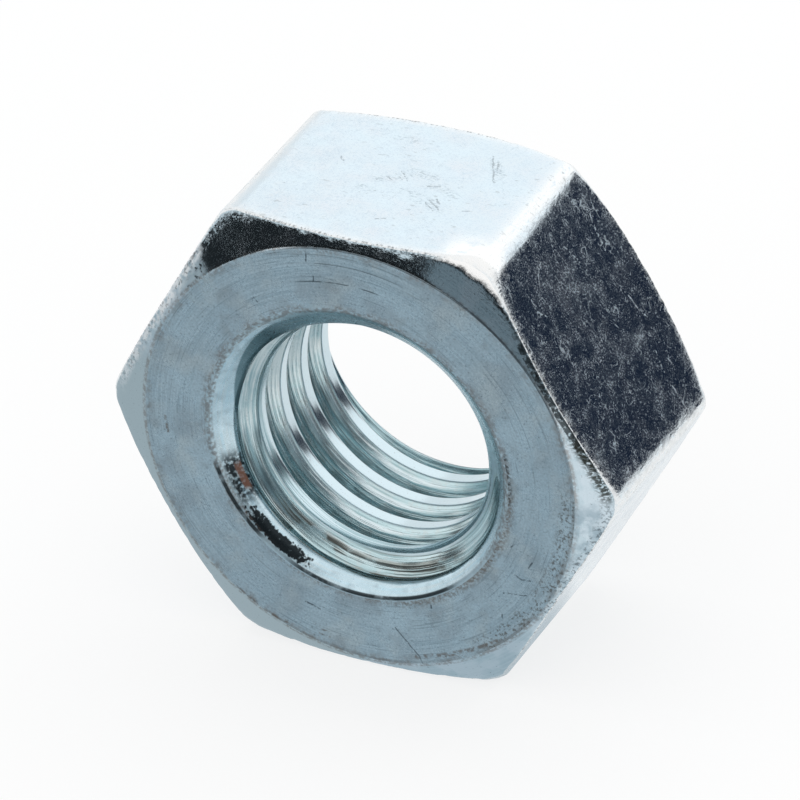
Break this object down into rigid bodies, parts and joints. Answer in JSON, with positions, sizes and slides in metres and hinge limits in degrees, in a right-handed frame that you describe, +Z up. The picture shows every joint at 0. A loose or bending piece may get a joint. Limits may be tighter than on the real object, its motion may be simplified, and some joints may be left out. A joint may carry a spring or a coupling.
{
  "type": "hex nut",
  "caption": "Hexagonal nut with chamfered corners and a right-hand threaded bore countersunk at both ends, in bright zinc-plated steel.",
  "frame": {"origin": "middle of the nut on the thread's axis, half-way between the two bearing faces", "axes": "+Z up, square to the flat that the nut stands on; the thread's axis runs along Y with the front bearing face towards -Y; two corners lie along +X and -X"},
  "size_m": [0.0148, 0.0066, 0.013],
  "materials": {
    "zinc_plated_steel": "bright zinc plate with pale blue passivation, lightly scratched"
  },
  "bodies": {
    "root": {"hex_nut": "zinc_plated_steel"}
  },
  "joints": []
}
